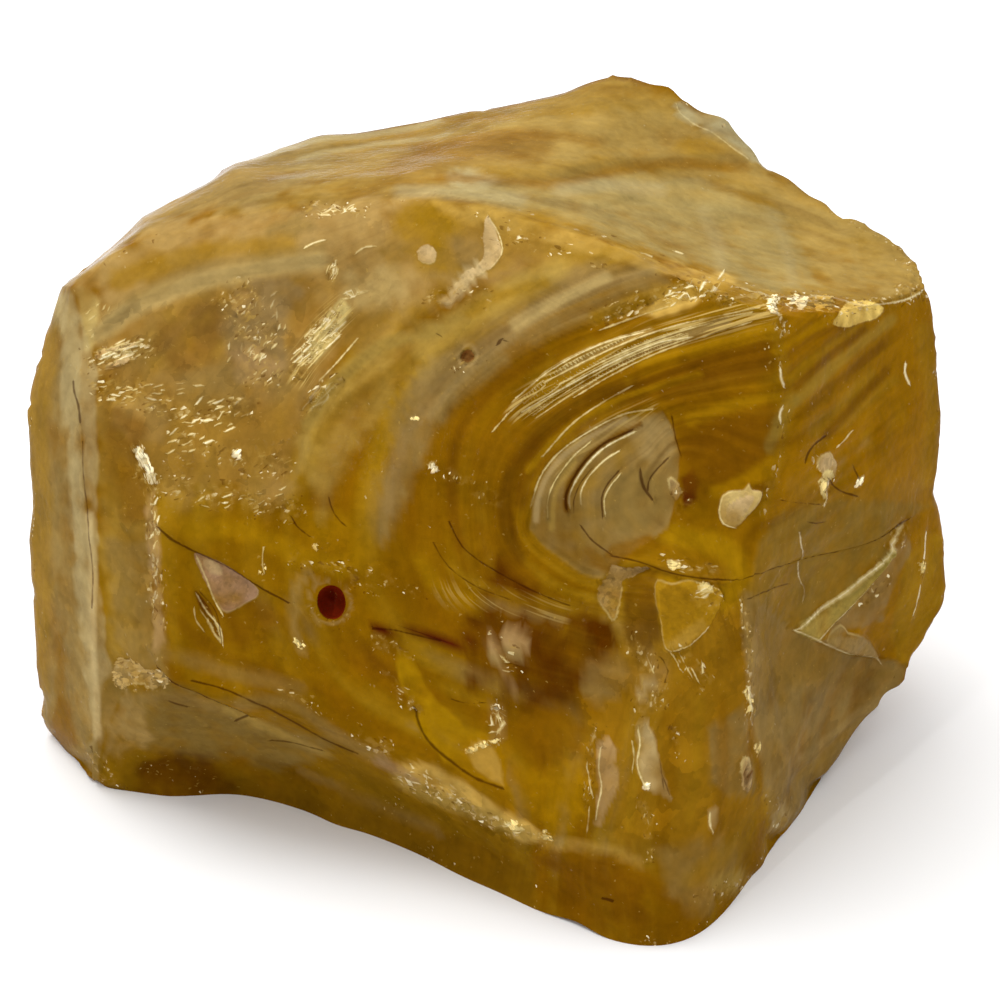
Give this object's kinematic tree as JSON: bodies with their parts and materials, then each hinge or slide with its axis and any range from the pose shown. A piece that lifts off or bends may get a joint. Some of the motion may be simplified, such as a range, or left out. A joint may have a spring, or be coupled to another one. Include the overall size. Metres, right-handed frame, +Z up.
{
  "type": "slag glass cullet",
  "caption": "Single rough chunk of amber slag glass with shell-shaped fracture faces, crisp broken ridges and burst bubbles, resting on a flat broken underside.",
  "frame": {"origin": "middle of the chunk's box, on the flat underside", "axes": "+Z up, -Y towards the broad swirled face, +X towards its right end, along the longest side"},
  "size_m": [0.1258, 0.1036, 0.0826],
  "materials": {
    "slag_glass": "glossy, milky, opaque"
  },
  "bodies": {
    "root": {"glass_chunk": "slag_glass"}
  },
  "joints": []
}
